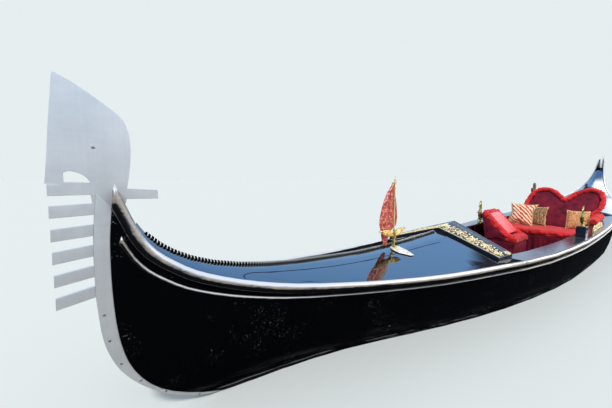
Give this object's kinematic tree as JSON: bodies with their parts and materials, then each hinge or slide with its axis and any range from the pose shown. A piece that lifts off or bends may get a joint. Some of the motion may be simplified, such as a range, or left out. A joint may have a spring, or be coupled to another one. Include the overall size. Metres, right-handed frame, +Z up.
{
  "type": "gondola boat",
  "caption": "Long slender lopsided wooden rowing boat with curved-up ends, toothed bow iron, decked ends, carved board, cushioned passenger place and oarlock.",
  "frame": {"origin": "on the flat of the hull's bottom, midway between the bow iron's foremost point and the stern iron's aftmost point, on the line between stem and stern", "axes": "+X towards the bow, +Y to port (the fuller side), +Z up"},
  "size_m": [10.848, 1.4779, 1.92],
  "materials": {
    "blackLacquer": "gloss",
    "bottomPaint": "matte",
    "iron": "satin",
    "brass": "polished",
    "gilding": "satin",
    "redPlush": "matte",
    "redVelvet": "matte",
    "brocade": "matte",
    "crimsonSilk": "satin",
    "wornWood": "matte",
    "walnut": "satin"
  },
  "bodies": {
    "hull": {"side_port": "blackLacquer", "side_starboard": "blackLacquer", "hull_bottom": "bottomPaint", "stem_post": "blackLacquer", "stern_post": "blackLacquer", "rail_fore_port": "blackLacquer", "rail_aft_port": "blackLacquer", "moulding_port": "blackLacquer", "rail_fore_starboard": "blackLacquer", "rail_aft_starboard": "blackLacquer", "moulding_starboard": "blackLacquer", "fore_deck": "blackLacquer", "aft_deck": "blackLacquer", "deck_panel_port": "blackLacquer", "deck_panel_starboard": "blackLacquer", "crest_bead": "gilding", "bow_iron": "iron", "stern_iron": "iron", "carved_board": "blackLacquer", "fore_bulkhead": "blackLacquer", "aft_bulkhead": "blackLacquer", "ribs": "blackLacquer", "floorboards": "blackLacquer", "side_deck_port": "blackLacquer", "side_deck_starboard": "blackLacquer", "sofa_base": "redVelvet", "sofa_seat": "redPlush", "sofa_back": "redVelvet", "chair_base": "redVelvet", "chair_seat": "redPlush", "chair_back": "redPlush", "pillow_striped": "brocade", "pillow_brocade": "brocade", "pillow_port": "brocade", "sea_horse_starboard": "brass", "figure_block": "blackLacquer", "sea_horse_port": "brass", "deck_scroll": "gilding", "flag_plate": "iron", "flag_collar": "brass", "flag_staff": "gilding", "flag_silk": "crimsonSilk", "footboard": "wornWood", "foot_wedge": "wornWood", "oarlock_block": "walnut", "oarlock": "walnut"},
    "fore_door": {"fore_door": "blackLacquer"},
    "aft_door": {"aft_door": "blackLacquer"}
  },
  "joints": [
    {"name": "fore_door_hinge", "type": "hinge", "parent": "hull", "child": "fore_door", "pos_m": [2.568, 0.25, 0.33], "axis": [0, 0, -1], "range_deg": [0, 110]},
    {"name": "aft_door_hinge", "type": "hinge", "parent": "hull", "child": "aft_door", "pos_m": [-1.56, 0.25, 0.33], "axis": [0, 0, 1], "range_deg": [0, 100]}
  ]
}
